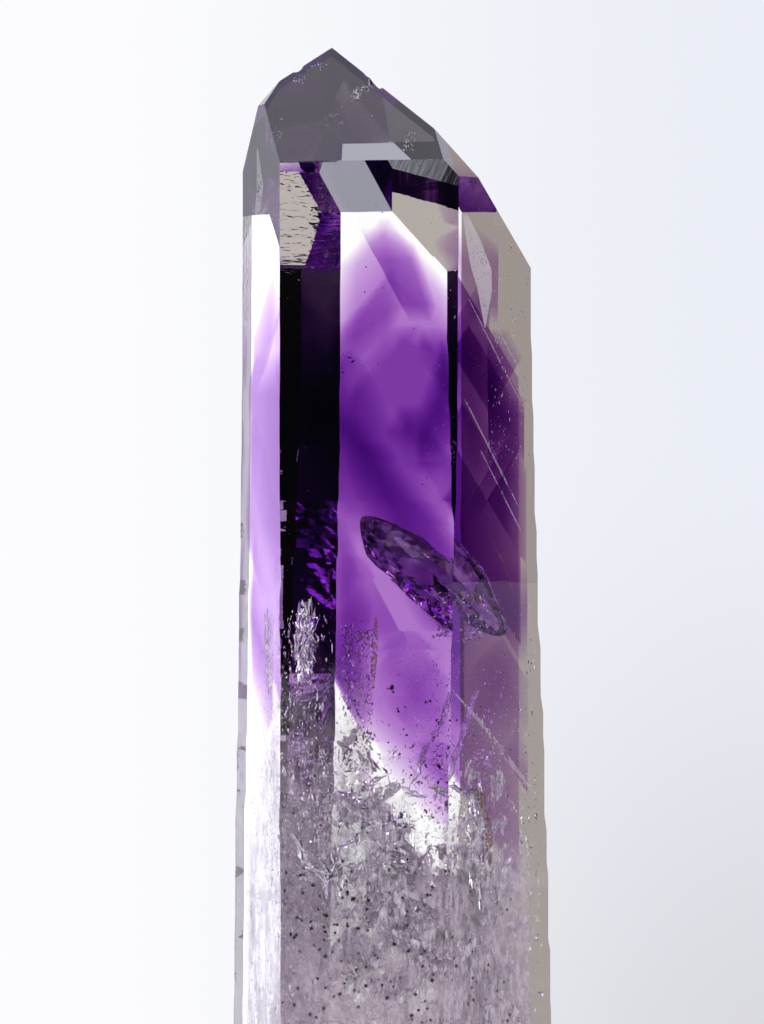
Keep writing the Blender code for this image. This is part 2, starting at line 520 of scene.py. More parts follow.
@dataclass(frozen=True)
class MattGrainFinish(Finish):
    """Small opaque grains: hematite plates and white pits in the quartz, and white painted highlights."""

    name: str
    colour_hex: str
    roughness: float
    patches_per_m: float = 900.0

    def nodes(self, tree: Tree) -> dict[str, Node]:
        """Lay out a colour that is a little uneven.

        Args:
            tree: The material's nodes.

        Returns:
            The nodes that end in the surface and the volume.
        """
        place = add_node(tree, "TexCoord").outputs["Object"]
        uneven = add_node(tree, "TexNoise", {"Vector": place, "Scale": self.patches_per_m, "Detail": 2.0})
        shade = add_node(tree, "MapRange", {"Value": uneven, "To Min": 0.6, "To Max": 1.3})
        tint = add_node(tree, "Mix", {"Factor": 1.0, "A": linear(self.colour_hex), "B": shade},
                        data_type="RGBA", blend_type="MULTIPLY")
        return {"Surface": add_node(tree, "BsdfPrincipled", {
            "Base Color": tint, "Roughness": self.roughness})}


@dataclass(frozen=True)
class HealedVeilFinish(Finish):
    """A healed fracture: a sheet of tiny pits and droplets, dense in some patches and bare in others.

    The real pits are hundredths of a millimetre wide. They are drawn a few times coarser so that
    they show. Dark and dense, the same sheet also serves as painted shade under the slanting front face.

    Attributes:
        name: Name of the material.
        colour_hex: Colour of the pits.
        grain_mm: Size of the pits as drawn.
        patch_mm: Size of the dense patches.
        cover: How much of the sheet is dense; half of it at 0.5.
        softness: How softly the patches end.
        densest: Opacity of the densest patches.
        streak: Stretch of the pits along x, y and z; less is longer.
    """

    name: str
    colour_hex: str
    grain_mm: float
    patch_mm: float
    cover: float
    softness: float
    densest: float
    streak: Triple = (1.0, 1.0, 1.0)

    def nodes(self, tree: Tree) -> dict[str, Node]:
        """Lay out opaque pits where grain plus 0.7 times patch passes a level set by the cover.

        Args:
            tree: The material's nodes.

        Returns:
            The nodes that end in the surface and the volume.
        """
        place = add_node(tree, "TexCoord").outputs["Object"]
        drawn = add_node(tree, "Mapping", {"Vector": place, "Scale": self.streak})
        grain, patch = [
            add_node(tree, "TexNoise", {"Vector": where, "Scale": 1.0 / (size * MM), "Detail": 2.0})
            for where, size in ((drawn, self.grain_mm), (place, self.patch_mm))]
        both = add_node(tree, "Math", {0: patch, 1: 0.7, 2: grain}, operation="MULTIPLY_ADD")
        level = 0.85 + (0.5 - self.cover) * 0.4
        alpha = add_node(tree, "MapRange", {
            "Value": both, "From Min": level - self.softness, "From Max": level + self.softness,
            "To Max": self.densest}, interpolation_type="SMOOTHSTEP")
        return {"Surface": add_node(tree, "BsdfPrincipled", {
            "Base Color": linear(self.colour_hex), "Roughness": 0.5, "Alpha": alpha})}


PITTED_VEIL = HealedVeilFinish("pitted_healed_veil", "#fbf9fa", 0.20, 3.0, 1.0, 0.20, 0.7)
THIN_VEIL = HealedVeilFinish("thin_healed_veil", "#e4dde6", 0.25, 3.0, 0.8, 0.15, 0.5, (1.0, 1.0, 0.5))
SPECKLED_VEIL = HealedVeilFinish("speckled_healed_veil", "#4b3444", 0.17, 2.0, 0.24, 0.05, 0.85,
                                 (1.0, 1.0, 0.7))
STREAKED_VEIL = HealedVeilFinish("streaked_healed_veil", WHITE, 0.9, 3.0, 0.9, 0.15, 0.75, (1.0, 1.0, 5.0))
# Two dark sheets under the slanting front face are painted shade, for the dark reflection seen there
PAINTED_SHADE_VEIL = HealedVeilFinish("dusty_growth_veil", "#392e34", 0.5, 4.0, 2.0, 0.25, 0.78)
PALE_PAINTED_SHADE_VEIL = HealedVeilFinish("pale_dusty_growth_veil", "#5c585a", 0.5, 4.0, 2.0, 0.25, 0.82)
IRON_VEIL = HealedVeilFinish("iron_stained_fracture", "#7c4a3c", 0.22, 1.6, 0.6, 0.12, 0.8)


@dataclass(frozen=True)
class FrostedBreakFinish(Finish):
    """Frosted walls of fresh cracks: white where the break is rough and grey-violet where it is smoother."""

    name: str = "frosted_crack_walls"
    light_hex: str = "#fffaff"
    dark_hex: str = "#c4b7ca"
    streak_mm: float = 0.5

    def nodes(self, tree: Tree) -> dict[str, Node]:
        """Lay out slanting streaks from clear over grey-violet to white.

        Args:
            tree: The material's nodes.

        Returns:
            The nodes that end in the surface and the volume.
        """
        place = add_node(tree, "TexCoord").outputs["Object"]
        drawn = add_node(tree, "Mapping", {
            "Vector": place, "Rotation": (0.3, 0.5, 0.2), "Scale": (1.0, 1.0, 0.3)})
        streak = add_node(tree, "TexNoise", {
            "Vector": drawn, "Scale": 1.0 / (self.streak_mm * MM), "Detail": 4.0, "Roughness": 0.7})
        share = add_node(tree, "MapRange", {"Value": streak, "From Min": 0.48, "From Max": 0.64})
        colour = add_node(tree, "Mix", {
            "Factor": share, "A": linear(self.dark_hex), "B": linear(self.light_hex)}, data_type="RGBA")
        bare = add_node(tree, "MapRange", {
            "Value": streak, "From Min": 0.43, "From Max": 0.51, "To Max": 0.92},
            interpolation_type="SMOOTHSTEP")
        return {"Surface": add_node(tree, "BsdfPrincipled", {
            "Base Color": colour, "Roughness": 0.35, "Alpha": bare})}


@dataclass(frozen=True)
class CloudyRootFinish(Finish):
    """Cloudy quartz, from swarms of fluid droplets too small to see one by one.

    The cloud is dense at the root, thins out upwards and reaches higher on the left, up to an old
    fracture. Its mottling is drawn as a patchy haze with upright streaks.

    Attributes:
        name: Name of the material.
        colour_hex: Colour of the haze.
        densest: Opacity of its densest patches.
        shift: Shift of its pattern, in metres.
        mottle_mm: Size of its patches.
        drop_mm: How far its top lies under the skyline.
        fade_mm: Height over which it thins out.
        skyline: Height of its top at places along x, the two ends first.
        span_mm: Length along x that the skyline is laid out on, and its greatest height.
        wander_mm: How far the top wanders under and over the skyline.
        wave_mm: Size of the waves in which it wanders.
    """

    name: str
    colour_hex: str
    densest: float
    shift: Triple
    mottle_mm: float = 1.3
    drop_mm: float = 0.0
    fade_mm: float = 14.0
    skyline: tuple[Pair, ...] = SKYLINE_MM
    span_mm: float = 60.0
    wander_mm: Pair = (-6.0, 3.0)
    wave_mm: float = 6.0

    def nodes(self, tree: Tree) -> dict[str, Node]:
        """Lay out a haze whose opacity is mottling times a fade under the wandering skyline.

        Args:
            tree: The material's nodes.

        Returns:
            The nodes that end in the surface and the volume.
        """
        place = add_node(tree, "TexCoord").outputs["Object"]
        parts = add_node(tree, "SeparateXYZ", {"Vector": place})
        span = self.span_mm * MM
        across = add_node(tree, "MapRange", {
            "Value": parts.outputs["X"], "From Min": -0.5 * span, "From Max": 0.5 * span})
        skyline = add_node(tree, "ValToRGB", {"Fac": across})
        stops = skyline.color_ramp.elements
        for number, (place_mm, top_mm) in enumerate(self.skyline):
            share = place_mm / self.span_mm + 0.5
            stop = stops[number] if number < 2 else stops.new(share)
            stop.position = share
            stop.color = (*[top_mm / self.span_mm] * 3, 1.0)
        moved = add_node(tree, "Mapping", {"Vector": place, "Location": self.shift})
        wander = add_node(tree, "TexNoise", {
            "Vector": moved, "Scale": 1.0 / (self.wave_mm * MM), "Detail": 3.0})
        lowest, highest = [(height - self.drop_mm) * MM for height in self.wander_mm]
        wander = add_node(tree, "MapRange", {
            "Value": wander, "From Min": 0.3, "From Max": 0.7, "To Min": lowest, "To Max": highest})
        top = add_node(tree, "Math", {0: skyline, 1: span, 2: wander}, operation="MULTIPLY_ADD")
        under = add_node(tree, "Math", {0: top, 1: parts.outputs["Z"]}, operation="SUBTRACT")
        fade = add_node(tree, "MapRange", {
            "Value": under, "From Min": 0.0, "From Max": self.fade_mm * MM, "To Max": self.densest},
            interpolation_type="SMOOTHSTEP")
        drawn = add_node(tree, "Mapping", {"Vector": moved, "Scale": (1.0, 1.0, 0.5)})
        mottle = add_node(tree, "TexNoise", {
            "Vector": drawn, "Scale": 1.0 / (self.mottle_mm * MM), "Detail": 7.0, "Roughness": 0.72})
        patchy = add_node(tree, "MapRange", {
            "Value": mottle, "From Min": 0.40, "From Max": 0.62, "To Min": 0.1},
            interpolation_type="SMOOTHSTEP")
        alpha = add_node(tree, "Math", {0: fade, 1: patchy}, operation="MULTIPLY")
        return {"Surface": add_node(tree, "BsdfPrincipled", {
            "Base Color": linear(self.colour_hex), "Roughness": 0.6, "Alpha": alpha})}


@dataclass(frozen=True)
class ColourZone:
    """One convex zone of amethyst colour, bounded by planes parallel to quartz's own faces.

    Attributes:
        tint: Colour taken out along one millimetre.
        under: For rhombohedral directions, how deep under the tip the zone begins.
        over: For rhombohedral directions, how deep under the tip the zone ends.
        insets: For prism directions, how far inside the crystal's face the zone stays.
        seam: How far the zone reaches right and left of the seam between two growth sectors.
    """

    tint: float
    under: dict[Side, float]
    over: dict[Side, float]
    insets: dict[Side, float]
    seam: Pair = (30.0, 30.0)


ZONES: tuple[ColourZone, ...] = (
    ColourZone(0.155, {RIGHT_FRONT: 4.5, RIGHT_BACK: 10.4, LEFT_BACK: 21.3, LEFT_FRONT: 17.5},
               {RIGHT_BACK: 50.4},
               {FRONT: 0.8, RIGHT_FRONT: 1.7, RIGHT_BACK: 1.6, BACK: 9.9, LEFT_FRONT: 5.7}, (30.0, 19.5)),
    ColourZone(0.699, {RIGHT_BACK: 11.5, BACK: 19.6}, {BACK: 24.1},
               {RIGHT_FRONT: 7.3, RIGHT_BACK: 1.1, BACK: 6.3, LEFT_FRONT: 15.3}),
    ColourZone(0.271, {RIGHT_FRONT: 17.1, RIGHT_BACK: 24.4, LEFT_BACK: 17.8, LEFT_FRONT: 24.1},
               {RIGHT_BACK: 31.7},
               {FRONT: 0.8, RIGHT_FRONT: 7.6, RIGHT_BACK: 1.5, BACK: 4.3, LEFT_BACK: 1.0}),
    ColourZone(0.280, {RIGHT_BACK: 12.9, LEFT_FRONT: 31.6}, {RIGHT_FRONT: 27.8, BACK: 30.9},
               {FRONT: 9.3, RIGHT_FRONT: 8.1, BACK: 7.3}),
    ColourZone(0.307, {FRONT: 55.1}, {LEFT_BACK: 51.2},
               {RIGHT_FRONT: 15.8, RIGHT_BACK: 7.6, BACK: 0.8, LEFT_BACK: 0.8}, (30.0, 20.0)),
    ColourZone(0.325, {RIGHT_FRONT: 15.5, BACK: 2.4}, {RIGHT_FRONT: 18.2, LEFT_BACK: 25.8},
               {RIGHT_BACK: 3.9, LEFT_BACK: 6.8}, (30.0, 0.9)),
    ColourZone(0.235, {FRONT: 32.5, RIGHT_BACK: 6.1, BACK: 2.7, LEFT_BACK: 14.1, LEFT_FRONT: 29.1},
               {FRONT: 41.8, BACK: 13.8, LEFT_BACK: 19.9}, {RIGHT_BACK: 4.9, BACK: 0.8, LEFT_BACK: 0.8}),
    ColourZone(0.223, {FRONT: 40.2, RIGHT_FRONT: 36.9, BACK: 17.5, LEFT_BACK: 21.2},
               {FRONT: 48.2, RIGHT_FRONT: 48.4, BACK: 40.7, LEFT_BACK: 44.0, LEFT_FRONT: 47.4},
               {FRONT: 9.1, RIGHT_FRONT: 13.9, RIGHT_BACK: 10.4, LEFT_BACK: 0.8, LEFT_FRONT: 1.2},
               (30.0, 20.0)),
    ColourZone(0.799, {RIGHT_FRONT: 22.2, LEFT_FRONT: 48.1}, {FRONT: 46.6, RIGHT_BACK: 24.3},
               {RIGHT_FRONT: 4.7, RIGHT_BACK: 0.8, BACK: 9.6, LEFT_BACK: 14.3}),
    ColourZone(0.262, {FRONT: 62.3, RIGHT_BACK: 33.7, LEFT_BACK: 45.2, LEFT_FRONT: 59.6},
               {RIGHT_FRONT: 53.5, RIGHT_BACK: 43.3, LEFT_FRONT: 71.8},
               {RIGHT_FRONT: 12.7, RIGHT_BACK: 0.8, BACK: 1.4}),
    ColourZone(0.113, {FRONT: 45.0, BACK: 35.0, LEFT_BACK: 39.4},
               {FRONT: 55.3, RIGHT_BACK: 41.8, BACK: 46.8, LEFT_FRONT: 56.7},
               {RIGHT_BACK: 6.5, BACK: 6.4, LEFT_BACK: 4.3, LEFT_FRONT: 9.1}, (-13.3, 30.0)),
    ColourZone(0.281, {RIGHT_BACK: 20.0, LEFT_FRONT: 37.2}, {RIGHT_BACK: 24.3, LEFT_FRONT: 52.6},
               {RIGHT_FRONT: 7.2, BACK: 8.9, LEFT_BACK: 10.4}),
    ColourZone(0.375, {RIGHT_FRONT: 11.0, RIGHT_BACK: 8.1, LEFT_BACK: 34.1},
               {FRONT: 29.3, RIGHT_BACK: 17.1, BACK: 31.3, LEFT_FRONT: 41.4},
               {RIGHT_FRONT: 2.5, RIGHT_BACK: 1.0, BACK: 11.6, LEFT_BACK: 15.5, LEFT_FRONT: 11.4}),
    ColourZone(0.159, {FRONT: 52.7, BACK: 29.5, LEFT_FRONT: 53.4},
               {FRONT: 60.0, RIGHT_BACK: 32.9, LEFT_BACK: 55.4}, {RIGHT_BACK: 0.8, LEFT_BACK: 7.9}),
    ColourZone(0.183, {FRONT: 70.6, LEFT_FRONT: 70.2}, {RIGHT_BACK: 42.8, LEFT_BACK: 64.6},
               {RIGHT_BACK: 0.8, BACK: 0.9}, (-14.7, 30.0)),
    ColourZone(0.208, {LEFT_BACK: 40.9, LEFT_FRONT: 45.9}, {RIGHT_FRONT: 25.8, LEFT_FRONT: 48.3},
               {FRONT: 5.9, RIGHT_BACK: 0.9, BACK: 8.2}, (-0.5, 30.0)),
)


@dataclass
class AmethystZones:
    """The purple phantom inside the crystal: nested tips and bands along its growth faces.

    Attributes:
        habit: The crystal's faces.
        zones: The zones of colour.
        skin: Thickness of clear quartz around all zones.
        lowest: Height over the cut at which all colour has ended.
        seam_normal: Unit normal of the seam between two growth sectors, pointing right.
        seam_place: A point on the seam.
    """

    habit: QuartzHabit
    zones: tuple[ColourZone, ...] = ZONES
    skin: float = 0.4
    lowest: float = 12.0
    seam_normal: Triple = (0.8763, -0.0790, 0.4752)
    seam_place: Triple = (-0.1, 2.0, 74.7)

    def planes(self, zone: ColourZone) -> list[Plane]:
        """Half-spaces that bound a zone.

        Args:
            zone: The zone.

        Returns:
            Outward unit normals with their distances from the origin.
        """
        habit = self.habit
        right = np.array(self.seam_normal)
        place = float(right @ np.array(self.seam_place))
        return [
            (-UP, -self.lowest),
            *(habit.slanting(side, max(zone.under.get(side, 0.0), self.skin)) for side in Side),
            *(habit.slanting(side, depth, True) for side, depth in zone.over.items()),
            *(habit.upright(side, zone.insets.get(side, self.skin)) for side in Side),
            (right, place + zone.seam[0]), (-right, zone.seam[1] - place)]

    def build(self) -> list[Piece]:
        """Make every zone."""
        finishes = [AmethystFinish(f"amethyst_zone_{number}", zone.tint)
                    for number, zone in enumerate(self.zones, 1)]
        return [make_piece(finish.name, *solid_from_planes(self.planes(zone)), finish.material())
                for zone, finish in zip(self.zones, finishes)]


@dataclass
class FluidCavity:
    """The long cavity with crystal walls that lies aslant in the front of the crystal.

    Attributes:
        upper_end: Its upper end.
        lower_end: Its lower end.
        half_width: Half its width.
        half_depth: Half its depth, along the view from the front face.
        roundness: Power that rounds its six-sided cross-section; more is sharper.
        roll: Turn of the cross-section, in radians.
        unevenness: How much its walls bulge, as a share of its radius.
        bulge: Mean distance between bulges along it, in half widths.
        bulges: Number of waves that the bulges are made of.
        rings: Number of rings along it.
        spokes: Number of points around it.
        seed: Seed for the bulges.
        finish: Its walls, tinted grey as painted shade for the cavity's dark reflections.
    """

    upper_end: Triple = (-2.1, -6.4, 52.3)
    lower_end: Triple = (8.2, -5.2, 43.2)
    half_width: float = 2.15
    half_depth: float = 1.9
    roundness: float = 7.0
    roll: float = 0.35
    unevenness: float = 0.17
    bulge: float = 1.9
    bulges: int = 14
    rings: int = 26
    spokes: int = 18
    seed: int = 11
    # Grey wall and gloss tints: painted shade that darkens light through and off the cavity's walls
    finish: GasInQuartzFinish = GasInQuartzFinish("gas_in_dusty_cavity", "#b8b8b8", "#a8a8a8", 0.98)

    def build(self) -> list[Piece]:
        """Make the cavity as a closed surface of two parameters.

        s runs along it from -1 to 1 and t around it. Its radius is (1 - |s|^2.4)^0.62, times
        (sum of |cos(t - k 60)|^p over k = 0, 1, 2)^(-1/p), which is a hexagon with rounded corners,
        times one plus long bulges.

        Returns:
            The cavity, as the only piece.
        """
        low, high = np.array(self.lower_end), np.array(self.upper_end)
        length = float(np.linalg.norm(low - high))
        along = (low - high) / length
        deep = BACKWARD - along * along[1]
        deep /= np.linalg.norm(deep)
        axes = np.stack([along, np.cross(along, deep), deep])
        share = -np.cos(np.linspace(0.0, np.pi, self.rings + 2)[1:-1])
        ss, tt = np.meshgrid(share, angles_around(self.spokes), indexing="ij")
        lobes = np.abs(np.cos(tt[..., None] + self.roll - np.arange(3) * np.pi / 3)) ** self.roundness
        radius = (1.0 - np.abs(ss) ** 2.4) ** 0.62 * lobes.sum(axis=-1) ** (-1.0 / self.roundness)
        places = np.stack([ss * 2.2, np.cos(tt), np.sin(tt)], axis=-1).reshape(-1, 3)
        swell = ripples(places, self.bulge, self.bulges, self.seed).reshape(radius.shape)
        radius = radius * (1.0 + self.unevenness * swell)
        local = np.stack([ss * length / 2, np.cos(tt) * radius * self.half_width,
                          np.sin(tt) * radius * self.half_depth], axis=-1).reshape(-1, 3)
        ends = [[-length / 2, 0.0, 0.0], [length / 2, 0.0, 0.0]]
        points = (low + high) / 2 + np.concatenate([local, ends]) @ axes
        here = np.arange(self.spokes)
        after = (here + 1) % self.spokes
        start = self.spokes * (self.rings - 1)
        first = np.stack([after, here, np.full(self.spokes, len(points) - 2)], axis=1)
        final = np.stack([start + here, start + after, np.full(self.spokes, len(points) - 1)], axis=1)
        faces = grid_faces(self.rings, self.spokes, True).tolist() + first.tolist() + final.tolist()
        return [make_piece("fluid_cavity", points, faces, self.finish.material())]


@dataclass(frozen=True)
class CrumpledCrack:
    """One thin gas-filled crack, folded like foil.

    Attributes:
        name: Name of the crack.
        centre: Its middle.
        half_size: Half its length along its long way and across.
        long_way: Direction of its long way.
        facing: Rough direction of its normal.
        relief: Height of its folds.
        fold: Mean distance between folds.
        seed: Seed for the folds.
        fray: How uneven its rim is, as a share of its size.
    """

    name: str
    centre: Triple
    half_size: Pair
    long_way: Triple
    facing: Triple
    relief: float
    fold: float
    seed: int
    fray: float = 0.22


@dataclass(frozen=True)
class CrackField:
    """A cloud of small folded cracks under one face.

    Attributes:
        name: Name of their mesh.
        side: The face that they lie under.
        count: How many are tried; those outside the crystal or above the cloudy root are dropped.
        centre: Middle of the cloud.
        half_size: Its half lengths along x, y and z.
        length: Shortest and longest half length of a crack.
        lean: Least and most angle between a crack and the face, in degrees.
        frosted: Whether the walls are frosted, and not smooth.
        seed: Seed for the cloud.
    """

    name: str
    side: Side
    count: int
    centre: Triple
    half_size: Triple
    length: Pair
    lean: Pair
    frosted: bool
    seed: int


@dataclass
class CrumpledCracks:
    """The foil-like cracks that cloud the lower half of the crystal.

    Attributes:
        habit: The crystal's faces.
        cracks: The large cracks.
        fields: The clouds of small cracks.
        steps: Number of points around a large crack.
        field_steps: Number of points around a small crack.
        thickness: Half the gap between a crack's walls at its middle.
        skin: Clear quartz between the small cracks and the crystal's faces.
        below_cloud: How far under the cloudy root's top the small cracks end.
    """

    habit: QuartzHabit
    cracks: tuple[CrumpledCrack, ...] = (
        CrumpledCrack("crumple_middle", (-0.9, -8.9, 29.0), (4.6, 2.9), (0.3, 0.1, -1.0), (0.15, -1.0, 0.1),
                      0.36, 1.2, 21),
        CrumpledCrack("crumple_low", (0.9, -8.9, 23.0), (4.0, 2.9), (0.6, 0.1, -1.0), (-0.2, -1.0, 0.2),
                      0.40, 1.3, 22),
        CrumpledCrack("crumple_left", (-6.6, -7.0, 42.6), (3.4, 1.0), (0.05, 0.1, 1.0), (-0.4, -1.0, 0.1),
                      0.25, 0.9, 23),
        CrumpledCrack("crumple_right", (6.3, -9.0, 26.8), (5.4, 1.3), (-0.05, 0.05, 1.0), (0.7, -0.7, 0.1),
                      0.25, 1.0, 24),
        CrumpledCrack("crumple_face", (-9.0, -4.9, 41.6), (3.6, 1.0), (0.05, 0.1, 1.0), (-0.95, -0.3, 0.0),
                      0.2, 0.8, 26),
        CrumpledCrack("crumple_diagonal", (3.6, -6.2, 35.0), (4.6, 0.45), (0.42, 0.0, 1.1),
                      (0.9, -0.6, -0.4), 0.2, 1.4, 25),
    )
    fields: tuple[CrackField, ...] = (
        CrackField("folded_cracks_front", FRONT, 80, (-0.5, -9.4, 26.5), (8.5, 1.2, 11.0), (0.7, 3.2),
                   (45.0, 78.0), False, 71),
        CrackField("frosted_cracks_front", FRONT, 110, (1.5, -9.2, 26.5), (6.5, 1.2, 11.0), (0.6, 2.8),
                   (5.0, 50.0), True, 62),
        CrackField("folded_cracks_right", RIGHT_FRONT, 60, (6.9, -8.0, 24.0), (2.6, 3.0, 12.0), (0.5, 2.4),
                   (45.0, 78.0), False, 63),
        CrackField("frosted_cracks_right", RIGHT_FRONT, 130, (6.9, -8.0, 24.0), (2.6, 3.0, 12.0), (0.5, 2.4),
                   (5.0, 50.0), True, 64),
    )
    steps: int = 34
    field_steps: int = 14
    thickness: float = 0.05
    skin: float = 0.12
    below_cloud: float = 2.0

    def scatter(self, field: CrackField) -> tuple[Array, Array]:
        """Corners and triangles of one cloud of folded cracks.

        Each crack leans away from the face by a chance angle towards a chance side. Most are short,
        and their folds are 0.14 times as high and 0.45 times as wide as a crack is long.

        Args:
            field: The cloud.

        Returns:
            Corners and triangles of its cracks.
        """
        chance = np.random.default_rng(field.seed)
        outward = self.habit.heading(field.side)
        level = np.array([-outward[1], outward[0], 0.0])
        skyline = np.array(sorted(SKYLINE_MM))
        shells = []
        for number in range(field.count):
            centre = np.array(field.centre) + chance.uniform(-1.0, 1.0, 3) * np.array(field.half_size)
            long = field.length[0] + (field.length[1] - field.length[0]) * chance.beta(1.2, 2.6)
            lean = math.radians(chance.uniform(*field.lean))
            turn, roll = chance.uniform(0.0, 2.0 * math.pi, 2)
            sideways = math.cos(turn) * level + math.sin(turn) * UP
            facing = math.cos(lean) * outward + math.sin(lean) * sideways
            long_way = math.cos(roll) * level + math.sin(roll) * UP + 0.3 * outward
            crack = CrumpledCrack(
                field.name, tuple(centre), (long, long * chance.uniform(0.25, 0.7)), tuple(long_way),
                tuple(facing), 0.14 * long, 0.45 * long, field.seed * 1000 + number, 0.45)
            corners, sides = self.sheet(crack, self.field_steps)
            top = np.interp(centre[0], skyline[:, 0], skyline[:, 1]) - self.below_cloud
            if centre[2] < top and self.habit.holds(corners, self.skin).all():
                shells.append((corners, sides))
        return join(shells)

    def sheet(self, crack: CrumpledCrack, steps: int) -> tuple[Array, Array]:
        """Closed thin shell of one crack.

        A grid over the unit disc is stretched to the crack's size and lifted by ripples. Its front
        and back stand apart by the thickness times (1 - r^2), so they meet at the rim.

        Args:
            crack: The crack.
            steps: Number of points around it.

        Returns:
            Corners and triangles.
        """
        radius = np.linspace(0.0, 1.0, steps // 2)[1:]
        rr, tt = np.meshgrid(radius, angles_around(steps), indexing="ij")
        circles = np.stack([rr * np.cos(tt), rr * np.sin(tt)], axis=-1).reshape(-1, 2)
        disc = np.concatenate([[[0.0, 0.0]], circles])
        facing = np.array(crack.facing) / np.linalg.norm(crack.facing)
        across = np.cross(facing, crack.long_way)
        across /= np.linalg.norm(across)
        along = np.cross(across, facing)
        flat = disc[:, :1] * along * crack.half_size[0] + disc[:, 1:] * across * crack.half_size[1]
        flat = flat * (1.0 + crack.fray * ripples(flat, crack.half_size[1], 8, crack.seed + 100)[:, None])
        lift = crack.relief * (ripples(flat, crack.fold * 2.0, 12, crack.seed)
                               + 0.35 * ripples(flat, crack.fold * 0.7, 12, crack.seed + 50))
        middle = np.array(crack.centre) + flat + lift[:, None] * facing
        gap = self.thickness * (1.0 - np.linalg.norm(disc, axis=1) ** 2)
        rim = 1 + steps * (len(radius) - 1)
        points = np.concatenate([middle + gap[:, None] * facing, (middle - gap[:, None] * facing)[:rim]])
        around = np.arange(steps)
        inner = np.stack([np.zeros(steps, int), 1 + around, 1 + (around + 1) % steps], axis=1)
        quads = 1 + grid_faces(len(radius), steps, True)
        front = np.concatenate([inner, quads[:, [0, 3, 2]], quads[:, [0, 2, 1]]])
        number = np.arange(len(disc))
        behind = np.where(number < rim, number + len(disc), number)
        return points, np.concatenate([front, behind[front[:, ::-1]]])

    def build(self) -> list[Piece]:
        """Make the large cracks and the clouds of small ones.

        Returns:
            The pieces.
        """
        clear = GasInQuartzFinish("gas_in_quartz_crack").material()
        frosted = FrostedBreakFinish().material()
        shells = [(crack.name, self.sheet(crack, self.steps), clear) for crack in self.cracks]
        shells += [(field.name, self.scatter(field), frosted if field.frosted else clear)
                   for field in self.fields]
        return [make_piece(name, points, sides.tolist(), material)
                for name, (points, sides), material in shells]


def join(parts: Sequence[tuple[Array, Array]]) -> tuple[Array, Array]:
    """Join the corners of some meshes, and their triangles with the numbers moved on."""
    starts = np.cumsum([0] + [len(points) for points, _ in parts])
    return (np.concatenate([points for points, _ in parts]),
            np.concatenate([triangles + start for (_, triangles), start in zip(parts, starts)]))


class Grain(Enum):
    """What a swarm of small things is made of."""

    CRACK = "fine_cracks"
    FLECK = "white_flecks"
    SPECK = "dark_specks"


CRACK, FLECK, SPECK = Grain


@dataclass(frozen=True)
class Swarm:
    """A cloud of small flakes or grains.

    Attributes:
        grain: What they are made of.
        count: How many are tried; those outside the crystal are dropped.
        centre: Middle of the cloud.
        half_size: Its half lengths along x, y and z.
        length: Shortest and longest half length of a grain.
        narrow: Width and thickness as shares of the length.
        upright: How strongly the grains stand upright, from 0 to 1.
        seed: Seed for the cloud.
    """

    grain: Grain
    count: int
    centre: Triple
    half_size: Triple
    length: Pair
    narrow: Pair
    upright: float
    seed: int


